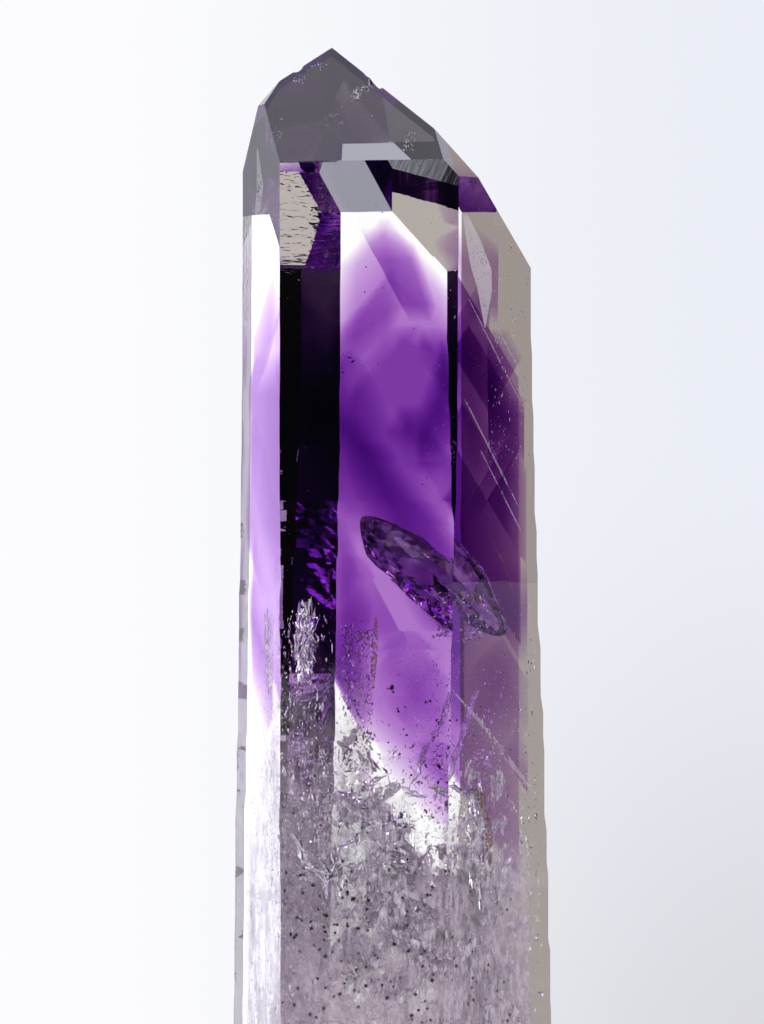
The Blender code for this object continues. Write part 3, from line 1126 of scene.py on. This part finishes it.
@dataclass
class SmallInclusions:
    """Fine cracks, white flecks and dark iron oxide specks, as one mesh for each kind.

    Attributes:
        habit: The crystal's faces.
        swarms: The clouds of grains.
        skin: Clear quartz between the grains and the crystal's faces.
    """

    habit: QuartzHabit
    swarms: tuple[Swarm, ...] = (
        Swarm(CRACK, 1500, (0.0, 0.0, 19.0), (13.0, 12.0, 11.0), (0.10, 0.45), (0.6, 0.10), 0.4, 31),
        Swarm(CRACK, 420, (0.0, -3.0, 29.0), (5.5, 5.0, 5.0), (0.15, 0.75), (0.5, 0.10), 0.5, 32),
        Swarm(CRACK, 330, (-6.4, -3.0, 36.0), (2.2, 3.0, 9.0), (0.12, 0.55), (0.35, 0.12), 0.9, 33),
        Swarm(CRACK, 300, (-2.3, -4.0, 37.0), (1.3, 1.0, 7.0), (0.10, 0.40), (0.5, 0.12), 0.8, 34),
        Swarm(CRACK, 360, (7.5, 0.0, 30.0), (3.5, 5.0, 11.0), (0.10, 0.50), (0.4, 0.12), 0.7, 35),
        Swarm(CRACK, 300, (-8.5, -4.0, 30.0), (3.5, 3.5, 16.0), (0.10, 0.50), (0.3, 0.12), 0.9, 36),
        Swarm(CRACK, 90, (5.0, -5.8, 43.6), (1.0, 0.6, 0.9), (0.15, 0.40), (0.6, 0.15), 0.0, 37),
        Swarm(CRACK, 900, (-1.0, -8.0, 22.0), (9.0, 2.2, 15.0), (0.08, 0.40), (0.5, 0.12), 0.5, 38),
        Swarm(CRACK, 260, (6.5, -8.0, 24.0), (3.5, 3.5, 12.0), (0.08, 0.40), (0.5, 0.12), 0.6, 39),
        Swarm(FLECK, 420, (-1.0, -8.2, 21.0), (9.0, 1.8, 14.0), (0.05, 0.26), (0.3, 0.2), 0.7, 46),
        Swarm(FLECK, 160, (8.8, -6.4, 66.0), (1.8, 1.9, 9.0), (0.07, 0.30), (0.22, 0.2), 0.8, 47),
        Swarm(FLECK, 240, (6.6, -7.6, 28.0), (2.4, 2.4, 9.0), (0.06, 0.34), (0.3, 0.2), 0.8, 48),
        Swarm(FLECK, 700, (0.0, 0.0, 22.0), (13.0, 12.0, 14.0), (0.05, 0.22), (0.4, 0.3), 0.8, 41),
        Swarm(FLECK, 110, (6.5, -1.0, 66.0), (3.0, 2.0, 12.0), (0.05, 0.20), (0.4, 0.3), 0.5, 42),
        Swarm(FLECK, 26, (5.9, -1.0, 57.8), (0.6, 0.6, 0.8), (0.10, 0.25), (0.5, 0.3), 0.2, 43),
        Swarm(FLECK, 40, (2.6, -5.0, 40.4), (1.4, 0.4, 1.6), (0.08, 0.30), (0.15, 0.15), 1.0, 44),
        Swarm(FLECK, 120, (8.0, 0.0, 38.0), (2.6, 3.0, 8.0), (0.06, 0.30), (0.2, 0.2), 1.0, 45),
        # White grains at the cavity's lower end: painted highlights that stand in for its white sparkles
        Swarm(FLECK, 46, (5.2, -6.9, 44.6), (1.9, 1.1, 2.2), (0.10, 0.42), (0.4, 0.15), 0.3, 49),
        Swarm(FLECK, 120, (-2.8, -5.1, 85.9), (0.35, 0.40, 0.40), (0.06, 0.20), (0.6, 0.4), 0.0, 61),
        Swarm(FLECK, 80, (-2.3, -4.8, 86.2), (0.6, 0.40, 0.40), (0.05, 0.14), (0.6, 0.4), 0.0, 62),
        Swarm(FLECK, 60, (-7.4, -2.9, 87.3), (0.55, 0.45, 0.40), (0.05, 0.15), (0.6, 0.4), 0.0, 63),
        Swarm(FLECK, 50, (-5.9, -2.4, 88.2), (0.80, 0.45, 0.45), (0.05, 0.14), (0.6, 0.4), 0.0, 64),
        Swarm(FLECK, 90, (-4.3, -6.1, 83.9), (1.00, 0.90, 0.60), (0.04, 0.07), (0.6, 0.4), 0.0, 65),
        Swarm(FLECK, 90, (-9.0, -6.0, 82.9), (0.45, 0.60, 1.50), (0.04, 0.12), (0.6, 0.4), 0.0, 66),
        Swarm(FLECK, 80, (1.4, -9.1, 81.8), (0.45, 0.55, 0.85), (0.05, 0.15), (0.5, 0.4), 0.6, 67),
        Swarm(FLECK, 24, (-4.6, -6.1, 84.1), (3.20, 1.20, 1.50), (0.06, 0.10), (0.6, 0.4), 0.0, 68),
        Swarm(SPECK, 240, (-0.5, -10.6, 22.0), (8.5, 1.9, 18.0), (0.12, 0.22), (0.95, 0.9), 0.0, 50),
        Swarm(SPECK, 260, (0.0, -8.0, 45.0), (12.0, 5.0, 44.0), (0.05, 0.12), (0.9, 0.8), 0.0, 51),
        Swarm(SPECK, 160, (-1.0, 0.0, 24.0), (12.0, 12.0, 18.0), (0.05, 0.13), (0.9, 0.8), 0.0, 52),
        Swarm(SPECK, 70, (-8.0, -5.6, 30.0), (0.35, 0.6, 22.0), (0.05, 0.12), (0.9, 0.8), 0.0, 53),
        Swarm(SPECK, 80, (-2.3, -5.0, 41.5), (1.0, 0.5, 3.2), (0.05, 0.14), (0.9, 0.8), 0.0, 54),
        Swarm(SPECK, 16, (-2.1, -5.2, 64.6), (1.5, 0.3, 0.9), (0.06, 0.30), (0.4, 0.5), 0.0, 55),
        Swarm(SPECK, 5, (0.35, -5.2, 38.8), (0.35, 0.1, 0.15), (0.15, 0.35), (0.6, 0.6), 0.0, 56),
        Swarm(SPECK, 40, (8.7, -1.0, 66.0), (1.8, 2.0, 8.0), (0.04, 0.10), (0.9, 0.8), 0.0, 57),
        Swarm(SPECK, 340, (0.0, -8.9, 17.5), (9.5, 2.4, 7.5), (0.15, 0.26), (0.95, 0.9), 0.0, 58),
    )
    skin: float = 0.12

    def scatter(self, swarm: Swarm) -> tuple[Array, Array]:
        """Corners and triangles of one swarm, in which most grains are small.

        Args:
            swarm: The swarm.

        Returns:
            Corners and triangles of the grains that lie in the crystal.
        """
        chance = np.random.default_rng(swarm.seed)
        spread = chance.uniform(-1.0, 1.0, (swarm.count, 3)) * np.array(swarm.half_size)
        centres = np.array(swarm.centre) + spread
        low, high = swarm.length
        longest = low * (high / low) ** chance.beta(1.2, 3.0, swarm.count)
        kept = self.habit.holds(centres, self.skin + high)
        centres, longest = centres[kept], longest[kept]
        loose = 1.0 - swarm.upright
        normals = unit_rows(chance.normal(size=centres.shape) * np.array([1.0, 1.0, 0.15 + 0.85 * loose]))
        longs = chance.normal(size=centres.shape) * (0.15 + loose) + 1.6 * swarm.upright * UP
        return flakes(centres, normals, longs, longest[:, None] * np.array([1.0, *swarm.narrow]))

    def build(self) -> list[Piece]:
        """Make one mesh for each kind of grain.

        Returns:
            The pieces.
        """
        finishes = {
            CRACK: GasInQuartzFinish("gas_in_fine_cracks"),
            # White grains: mostly white pits and streaks, some painted highlights that stand in for sparkles
            FLECK: MattGrainFinish("white_pits_in_quartz", "#f6f2fa", 0.5),
            SPECK: MattGrainFinish("hematite_plates", "#2a0c14", 0.35),
        }
        pieces = []
        for grain, finish in finishes.items():
            points, triangles = join([self.scatter(swarm) for swarm in self.swarms if swarm.grain is grain])
            pieces.append(make_piece(grain.value, points, triangles.tolist(), finish.material()))
        return pieces


@dataclass(frozen=True)
class Veil:
    """One healed fracture as a gently curved open sheet.

    Attributes:
        name: Name of the veil.
        spine: Points along its middle.
        half_widths: Half its width at each of these points.
        across: Direction of its width.
        finish: Its finish.
        bow: How far its edges bend backwards.
    """

    name: str
    spine: tuple[Triple, ...]
    half_widths: tuple[float, ...]
    across: Triple
    finish: HealedVeilFinish
    bow: float = 0.0


# Directions of the veils' widths: aslant up the right front face, level along it, and along the front face
ASLANT = (0.56, 0.6, 0.57)
ALONG_RIGHT = (0.678, 0.735, 0.0)
ALONG_FRONT = (0.975, -0.22, 0.0)


@dataclass
class HealedVeils:
    """The speckled veils and brown stains inside the crystal.

    Attributes:
        veils: The veils.
        rows: Number of points along a veil.
        columns: Number of points across it.
    """

    veils: tuple[Veil, ...] = (
        Veil("sickle_veil",
             ((5.45, -10.44, 76.2), (6.09, -9.75, 74.3), (6.73, -9.03, 72.1), (7.05, -8.67, 70.3),
              (7.05, -8.67, 67.4)),
             (0.25, 0.85, 1.2, 0.85, 0.06), ALONG_RIGHT, PITTED_VEIL, 0.1),
        Veil("pale_line",
             ((4.53, -11.64, 38.9), (6.76, -9.24, 36.3), (8.69, -7.09, 33.7), (10.97, -4.62, 30.7)),
             (0.06, 0.22, 0.30, 0.12), ASLANT, THIN_VEIL, 0.05),
        Veil("tan_line", ((7.40, -8.43, 51.1), (8.6, -7.15, 48.9), (9.34, -6.35, 46.6)), (0.05, 0.12, 0.04),
             ASLANT, IRON_VEIL),
        Veil("growth_line_high", ((5.74, -9.96, 69.6), (8.63, -6.84, 64.0), (9.9, -5.4, 61.6)),
             (0.04, 0.10, 0.03), ASLANT, THIN_VEIL),
        Veil("growth_line_middle", ((6.28, -8.98, 70.3), (10.49, -4.44, 62.8)),
             (0.05, 0.08), ASLANT, THIN_VEIL),
        Veil("growth_line_low", ((5.39, -10.23, 61.7), (8.28, -7.13, 56.1), (9.78, -5.5, 53.2)),
             (0.05, 0.10, 0.03), ASLANT, THIN_VEIL),
        Veil("growth_line_lowest", ((6.54, -8.51, 57.7), (9.78, -4.96, 51.4)),
             (0.04, 0.08), ASLANT, THIN_VEIL),
        Veil("tip_streaks", ((-10.42, -2.0, 81.9), (-10.2, -2.75, 78.8), (-10.45, -1.95, 76.6)),
             (0.15, 0.95, 0.7), (0.292, -0.956, 0.0), STREAKED_VEIL),
        Veil("upright_veil",
             ((-2.6, -9.55, 43.6), (-2.55, -9.65, 40.0), (-2.6, -9.75, 36.0), (-2.7, -9.85, 32.5)),
             (1.2, 1.25, 1.2, 1.1), ALONG_FRONT, SPECKLED_VEIL, 0.1),
        Veil("brown_streak", ((-1.15, -9.8, 44.6), (-1.25, -9.8, 42.0), (-1.4, -9.85, 39.0)),
             (0.10, 0.28, 0.16), ALONG_FRONT, IRON_VEIL, 0.1),
        Veil("brown_patch", ((6.3, -9.2, 31.4), (6.9, -8.7, 29.6), (7.3, -8.3, 27.6), (7.4, -8.2, 24.0)),
             (0.9, 0.25, 0.5, 0.3), (0.678, 0.735, 0.1), IRON_VEIL, 0.2),
    )
    rows: int = 24
    columns: int = 9

    def sheet(self, veil: Veil) -> Array:
        """Points of one veil: its spine carried along, widened across and bowed at the edges.

        Args:
            veil: The veil.

        Returns:
            Points in rows across the veil.
        """
        share = np.linspace(0.0, 1.0, len(veil.spine))
        along = np.linspace(0.0, 1.0, self.rows)
        spine = np.stack([np.interp(along, share, column) for column in np.array(veil.spine).T], axis=1)
        width = np.interp(along, share, veil.half_widths)
        side = np.linspace(-1.0, 1.0, self.columns)
        across = np.array(veil.across) / np.linalg.norm(veil.across)
        points = (spine[:, None, :] + (width[:, None] * side[None])[..., None] * across
                  + (veil.bow * side ** 2)[None, :, None] * BACKWARD)
        return points.reshape(-1, 3)

    def build(self) -> list[Piece]:
        """Make every veil."""
        faces = grid_faces(self.rows, self.columns, False).tolist()
        return [make_piece(veil.name, self.sheet(veil), faces, veil.finish.material(), smooth=True)
                for veil in self.veils]


@dataclass
class PaintedShadeTip:
    """A dark sheet just under the slanting front face, painted shade for the dark reflection seen on
    that face; it ends above the bright window.

    Attributes:
        habit: The crystal's faces.
        depth: Depth of the layer, measured down the tip's axis.
        ridge: Clear quartz along the slanting ridges, measured the same way.
        skin: Clear quartz along the prism faces.
        window_top: Height down to which the layer spans the whole face.
        window_left: Place along x up to which it goes on below that height.
        lowest: Height of its lower end there.
        seam: A point, along x and z, of the slanting line right of which the layer is paler.
        seam_tilt: Tilt of that line from the upright, in radians.
    """

    habit: QuartzHabit
    depth: float = 0.85
    ridge: float = 0.9
    skin: float = 0.3
    window_top: float = 81.78
    window_left: float = -4.25
    lowest: float = 80.36
    seam: Pair = (-0.4, 83.8)
    seam_tilt: float = math.radians(8.5)

    def build(self) -> list[Piece]:
        """Make the layer above and left of the window.

        Returns:
            The pieces.
        """
        around = [self.habit.slanting(FRONT, self.depth)]
        around += [self.habit.slanting(side, self.ridge - POINT_RISE[side])
                   for side in Side if side is not FRONT]
        around += self.habit.uprights(self.skin)
        line = np.array([math.cos(self.seam_tilt), 0.0, math.sin(self.seam_tilt)])
        reach = float(line @ np.array([self.seam[0], 0.0, self.seam[1]]))
        above = (-UP, -self.window_top)
        below = [(UP, self.window_top), (-UP, -self.lowest), (np.array([1.0, 0.0, 0.0]), self.window_left)]
        # Painted shade: dark sheets over and beside the window, a paler one right of the seam
        outlines = (("dusty_tip", [above, (line, reach)], PAINTED_SHADE_VEIL),
                    ("dusty_tip_corner", below, PAINTED_SHADE_VEIL),
                    ("pale_dusty_tip", [above, (-line, -reach)], PALE_PAINTED_SHADE_VEIL))
        return [make_piece(name, *first_face(around + ends), finish.material())
                for name, ends, finish in outlines]


@dataclass
class CloudyRoot:
    """The cloudy lower part of the crystal, as thin layers that lie along its growth faces.

    Attributes:
        habit: The crystal's faces.
        layers: For each direction, how deep the layers lie under the face.
        levels: Heights of the level layers.
        skin: Clear quartz at the layers' edges.
        lowest: Height at which the upright layers begin.
        highest: Height at which they end.
        shades: Finishes of the inner layers, which follow each other in turn.
        haze: Finish of the layers close under the front faces.
        haze_depth: Depth up to which these lie.
        deep: Finish of the layers along the back faces.
    """

    habit: QuartzHabit
    layers: tuple[tuple[Side, tuple[float, ...]], ...] = (
        (FRONT, (3.4, 5.2, 7.6, 1.5, 1.0)),
        (RIGHT_FRONT, (1.8, 4.0, 7.0, 0.9)),
        (BACK, (1.2, 3.0)),
        (LEFT_BACK, (1.0,)),
        (RIGHT_BACK, (1.2, 3.5)),
    )
    levels: tuple[float, ...] = (22.0, 13.0, 5.0)
    skin: float = 0.5
    lowest: float = 0.6
    highest: float = 52.0
    shades: tuple[CloudyRootFinish, ...] = (
        CloudyRootFinish("cloudy_quartz_grey", "#ccbdca", 0.38, (0.0, 0.0, 0.0)),
        CloudyRootFinish("cloudy_quartz_pale", "#faf4fa", 0.34, (0.013, 0.021, 0.008), 0.9),
        CloudyRootFinish("cloudy_quartz_mauve", "#b8a6b8", 0.34, (0.031, 0.007, 0.017), 2.0),
    )
    haze: CloudyRootFinish = CloudyRootFinish(
        "cloudy_quartz_haze", "#dccfda", 0.92, (0.017, 0.003, 0.011), 0.7, 0.0, 8.0, HAZE_SKYLINE_MM)
    haze_depth: float = 1.6
    deep: CloudyRootFinish = CloudyRootFinish(
        "cloudy_quartz_deep", "#ddd0dc", 0.38, (0.009, 0.013, 0.002), 1.3, 11.0)

    def build(self) -> list[Piece]:
        """Make every layer.

        Returns:
            The pieces.
        """
        materials = [finish.material() for finish in self.shades]
        haze, deep = self.haze.material(), self.deep.material()
        ends = [(UP, self.highest), (-UP, -self.lowest)]
        pieces = []
        for side, depths in self.layers:
            for number, depth in enumerate(depths, 1):
                material = materials[len(pieces) % len(materials)]
                if side not in (FRONT, RIGHT_FRONT):
                    material = deep
                elif depth < self.haze_depth:
                    material = haze
                planes = [self.habit.upright(side, depth), *self.habit.uprights(self.skin, side), *ends]
                name = f"cloudy_layer_{side.name.lower()}_{number}"
                pieces.append(make_piece(name, *first_face(planes), material))
        for number, (level, material) in enumerate(zip(self.levels, materials), 1):
            planes = [(UP, level), (-UP, 1.0 - level), *self.habit.uprights(self.skin)]
            pieces.append(make_piece(f"cloudy_layer_level_{number}", *first_face(planes), material))
        return pieces


@dataclass(frozen=True)
class SoftPanel:
    """A soft panel of studio light seen in one direction from the crystal.

    Attributes:
        azimuth: Direction from +Y towards +X, in degrees.
        half_width: Half its width, in degrees.
        elevation: Height of its middle over the horizon, in degrees.
        half_height: Half its height, in degrees.
        edge: Width of its soft edge, in degrees.
        colour: Its colour as sRGB hex.
        strength: Its brightness.
    """

    azimuth: float
    half_width: float
    elevation: float
    half_height: float
    edge: float
    colour: str
    strength: float

    def cover(self, tree: Tree, light: Any, azimuth: Node, elevation: Node) -> Node:
        """Lay the panel over the light so far.

        Args:
            tree: The world's nodes.
            light: Light so far, as a colour or the node that gives it.
            azimuth: Direction's azimuth in radians.
            elevation: Direction's elevation in radians.

        Returns:
            The light with the panel in it.
        """
        turned = add_node(tree, "Math", {0: azimuth, 1: math.radians(self.azimuth)}, operation="SUBTRACT")
        turned = add_node(tree, "Math", {0: turned, 1: math.pi, 2: -math.pi}, operation="WRAP")
        raised = add_node(tree, "Math", {0: elevation, 1: math.radians(self.elevation)},
                          operation="SUBTRACT")
        masks = []
        for offset, half in ((turned, self.half_width), (raised, self.half_height)):
            size = add_node(tree, "Math", {0: offset}, operation="ABSOLUTE")
            masks.append(add_node(tree, "MapRange", {
                "Value": size, "From Min": math.radians(half + self.edge / 2),
                "From Max": math.radians(half - self.edge / 2)}, interpolation_type="SMOOTHSTEP"))
        mask = add_node(tree, "Math", dict(enumerate(masks)), operation="MULTIPLY")
        colour = (*(part * self.strength for part in linear(self.colour)[:3]), 1.0)
        return add_node(tree, "Mix", {"Factor": mask, "A": light, "B": colour}, data_type="RGBA")


@dataclass(frozen=True)
class PaleCardFinish(Finish):
    """Matt pale card, which fades out towards the rim of the round floor."""

    radius_mm: float
    name: str = "matt_pale_card"
    colour_hex: str = "#f4f4f8"
    fading: Pair = (0.4, 0.98)

    def nodes(self, tree: Tree) -> dict[str, Node]:
        """Lay out the card, whose opacity falls with the distance from the middle.

        Args:
            tree: The material's nodes.

        Returns:
            The nodes that end in the surface and the volume.
        """
        place = add_node(tree, "TexCoord").outputs["Object"]
        away = add_node(tree, "VectorMath", {0: place}, operation="LENGTH")
        full, none = [share * self.radius_mm * MM for share in self.fading]
        fade = add_node(tree, "MapRange", {
            "Value": away, "From Min": full, "From Max": none, "To Min": 1.0, "To Max": 0.0},
            interpolation_type="SMOOTHSTEP")
        return {"Surface": add_node(tree, "BsdfPrincipled", {
            "Base Color": linear(self.colour_hex), "Roughness": 0.7, "Alpha": fade})}


@dataclass(frozen=True)
class BlackVelvetFinish(Finish):
    """Black velvet, which sends back next to no light."""

    name: str = "black_velvet_card"
    colour_hex: str = "#070707"

    def nodes(self, tree: Tree) -> dict[str, Node]:
        """Lay out the velvet."""
        return {"Surface": add_node(tree, "BsdfPrincipled", {
            "Base Color": linear(self.colour_hex), "Roughness": 1.0, "Specular IOR Level": 0.0})}


@dataclass
class Studio:
    """Pale floor, plain backdrop, soft panels, one black card and the camera.

    Attributes:
        habit: The crystal's faces.
        panels: Panels around the crystal, later ones in front of earlier ones.
        surround: Brightness of everything that the panels leave free, a little bluish.
        backdrop: Colours that the camera sees behind the crystal at the left, right and lower right.
        rightward: Azimuths between which the backdrop turns from left to right, in degrees.
        corner_rightward: Azimuths between which its lower right corner sets in.
        corner_downward: Elevations between which that corner sets in.
        frame_px: Width and height of the picture.
        tip_px: Where the picture shows the tip.
        mm_per_px: Millimetres to a pixel at the tip's distance.
        camera_distance: Distance of the camera in front of the tip.
        sensor_mm: Height of the camera's sensor.
        floor_radius: Radius of the floor.
        floor_drop: How far the floor lies under the cut.
        floor_steps: Number of corners of the floor.
        card_outline: Corners of the black card beside the crystal, along y and z.
        card_place: Where the card stands along x.
        bounces: Greatest number of bounces of each kind, enough for clear quartz.
    """

    habit: QuartzHabit
    panels: tuple[SoftPanel, ...] = (
        SoftPanel(0.0, 26.0, 12.0, 24.0, 5.0, WHITE, 1.10),
        SoftPanel(47.0, 20.0, 8.0, 26.0, 4.0, "#f4f0ff", 1.60),
        SoftPanel(-30.0, 8.0, 8.0, 30.0, 2.0, "#f2f0f8", 0.95),
        SoftPanel(-43.0, 7.0, 5.0, 33.0, 2.0, "#a39a95", 1.05),
        SoftPanel(87.0, 9.0, 0.0, 18.0, 4.0, "#d0d0d8", 0.80),
        SoftPanel(88.0, 12.0, -25.0, 7.0, 3.0, "#d8cfc8", 0.90),
        SoftPanel(-150.0, 12.0, -35.0, 5.0, 3.0, "#d8cfc8", 0.75),
        SoftPanel(0.0, 32.0, -23.0, 10.0, 5.0, "#a6a6b2", 1.00),
        SoftPanel(-90.0, 26.0, 8.0, 26.0, 8.0, WHITE, 0.95),
        SoftPanel(160.0, 28.0, 38.0, 28.0, 6.0, "#fff8ff", 5.60),
        SoftPanel(160.0, 28.0, -3.0, 12.0, 4.0, "#fff8ff", 1.15),
        SoftPanel(0.0, 180.0, 80.0, 28.0, 8.0, "#f4f2ff", 1.50),
        SoftPanel(-154.0, 11.0, 0.0, 28.0, 3.0, "#e8e0f0", 0.035),
    )
    surround: float = 0.015
    backdrop: tuple[str, str, str] = ("#fcfcfe", "#ebeef6", "#d8d8de")
    rightward: Pair = (-4.0, 4.0)
    corner_rightward: Pair = (-1.5, 4.5)
    corner_downward: Pair = (1.0, -7.0)
    frame_px: tuple[int, int] = (764, 1024)
    tip_px: Pair = (331.9, 47.7)
    mm_per_px: float = 0.08
    camera_distance: float = 424.0
    sensor_mm: float = 24.0
    floor_radius: float = 85.0
    floor_drop: float = 0.02
    floor_steps: int = 96
    card_outline: tuple[Pair, ...] = (
        (-45.0, 46.5), (13.3, 46.5), (13.3, 0.5), (15.0, 0.5), (15.0, 110.0), (-45.0, 110.0))
    card_place: float = 70.0
    bounces: tuple[tuple[str, int], ...] = (
        ("max_bounces", 96), ("transmission_bounces", 96), ("glossy_bounces", 32),
        ("transparent_max_bounces", 48))

    def add_camera(self) -> None:
        """Stand a level camera in front, framed as the photograph frames the tip."""
        lens = bpy.data.cameras.new("studio_camera")
        lens.sensor_fit = "VERTICAL"
        lens.sensor_height = self.sensor_mm
        lens.lens = self.sensor_mm * self.camera_distance / (self.frame_px[1] * self.mm_per_px)
        lens.clip_start = 0.01
        camera = bpy.data.objects.new("studio_camera", lens)
        right, down = [(size / 2 - tip) * self.mm_per_px for size, tip in zip(self.frame_px, self.tip_px)]
        camera.location = ((self.habit.tip + np.array([right, -self.camera_distance, -down])) * MM).tolist()
        camera.rotation_euler = (math.pi / 2, 0.0, 0.0)
        bpy.context.scene.collection.objects.link(camera)
        bpy.context.scene.camera = camera

    def add_floor(self) -> None:
        """Lay a pale round floor under the cut."""
        turn = angles_around(self.floor_steps)
        points = np.stack([np.cos(turn), np.sin(turn), np.zeros(self.floor_steps)], axis=1)
        points *= self.floor_radius
        points[:, 2] = -self.floor_drop
        finish = PaleCardFinish(self.floor_radius)
        add_object("pale_floor", points, [list(range(self.floor_steps))], finish.material())

    def add_card(self) -> None:
        """Stand a black card beside the crystal, out of the camera's sight.

        It keeps light out of the right-hand faces, which makes the dark column in the front face.
        """
        corners = np.insert(np.array(self.card_outline), 0, self.card_place, axis=1)
        card = add_object("black_card", corners, [list(range(len(corners)))], BlackVelvetFinish().material())
        card.visible_camera = False

    def add_world(self) -> None:
        """Surround the crystal with the panels, and show the camera the plain backdrop."""
        world = bpy.data.worlds.new("studio")
        world.use_nodes = True
        tree = world.node_tree
        tree.nodes.clear()
        way = add_node(tree, "SeparateXYZ", {0: add_node(tree, "TexCoord").outputs["Generated"]}).outputs
        azimuth = add_node(tree, "Math", {0: way["X"], 1: way["Y"]}, operation="ARCTAN2")
        elevation = add_node(tree, "Math", {0: way["Z"]}, operation="ARCSINE")
        light = (self.surround, self.surround, self.surround * 1.05, 1.0)
        for panel in self.panels:
            light = panel.cover(tree, light, azimuth, elevation)
        left, right, low = (linear(colour) for colour in self.backdrop)
        rightward, aside, downward = [
            add_node(tree, "MapRange", {
                "Value": angle, "From Min": math.radians(start), "From Max": math.radians(end)},
                interpolation_type="SMOOTHSTEP")
            for angle, (start, end) in ((azimuth, self.rightward), (azimuth, self.corner_rightward),
                                        (elevation, self.corner_downward))]
        corner = add_node(tree, "Math", {0: aside, 1: downward}, operation="MULTIPLY")
        plain = add_node(tree, "Mix", {"Factor": rightward, "A": left, "B": right}, data_type="RGBA")
        plain = add_node(tree, "Mix", {"Factor": corner, "A": plain, "B": low}, data_type="RGBA")
        seen = add_node(tree, "LightPath").outputs["Is Camera Ray"]
        colour = add_node(tree, "Mix", {"Factor": seen, "A": light, "B": plain}, data_type="RGBA")
        glow = add_node(tree, "Background", {"Color": colour, "Strength": 1.0})
        add_node(tree, "OutputWorld", {"Surface": glow})
        bpy.context.scene.world = world

    def build(self) -> None:
        """Set up the whole studio, with plain display colours."""
        self.add_camera()
        self.add_floor()
        self.add_card()
        self.add_world()
        scene = bpy.context.scene
        scene.view_settings.view_transform = "Standard"
        for name, count in self.bounces:
            setattr(scene.cycles, name, count)


def main() -> None:
    """Dress the crystal, fill it and set up the studio."""
    logging.basicConfig(level=logging.INFO, format="%(message)s")
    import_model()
    habit = QuartzHabit.from_frame()
    crystal = bpy.data.objects[CRYSTAL_NODE]
    crystal.data.materials.clear()
    crystal.data.materials.append(ClearQuartzFinish().material())
    reach = {side.name: round(far, 2) for side, far in habit.reach.items()}
    LOG.info("crystal dressed, faces at %s mm", reach)
    inside = (AmethystZones(habit), FluidCavity(), CrumpledCracks(habit), SmallInclusions(habit),
              HealedVeils(), PaintedShadeTip(habit), CloudyRoot(habit))
    for assembly in inside:
        for piece in assembly.build():
            LOG.info("%s: %d faces", piece.name, len(piece.data.polygons))
    Studio(habit).build()


if __name__ == "__main__":
    main()
